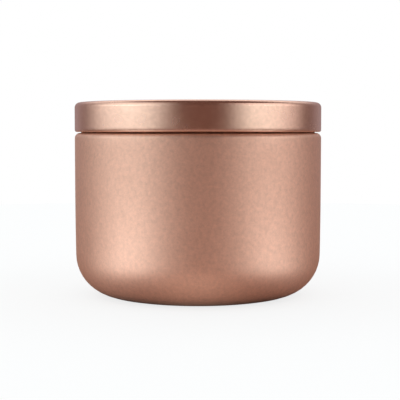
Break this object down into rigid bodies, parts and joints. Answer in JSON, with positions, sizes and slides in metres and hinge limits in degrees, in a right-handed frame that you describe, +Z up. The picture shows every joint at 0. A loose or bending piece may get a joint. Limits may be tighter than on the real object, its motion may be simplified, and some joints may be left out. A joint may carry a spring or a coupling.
{
  "type": "candle tin",
  "caption": "Round drawn metal candle tin with a wide curved base and a flush slip lid that lifts off, holding a poured wax candle with a tabbed cotton wick.",
  "frame": {"origin": "on the tin's axis, in the plane of the stand ring that the tin rests on", "axes": "+Z up along the tin's axis, the way the lid lifts; the tin is round, so +X and +Y are any two level directions"},
  "size_m": [0.0768, 0.0768, 0.06],
  "materials": {
    "can_lacquer": "satin",
    "lid_lacquer": "satin",
    "wax": "satin",
    "wick_cotton": "matte",
    "tab_tinplate": "satin",
    "sticker_foam": "matte"
  },
  "bodies": {
    "tin": {"can_body": "can_lacquer", "wax_fill": "wax", "wick": "wick_cotton", "wick_tab": "tab_tinplate", "wick_sticker": "sticker_foam"},
    "lid": {"lid": "lid_lacquer"}
  },
  "joints": [
    {"name": "lid_lift", "type": "slide", "parent": "tin", "child": "lid", "axis": [0, 0, 1], "range_m": [0, 0.05]}
  ]
}
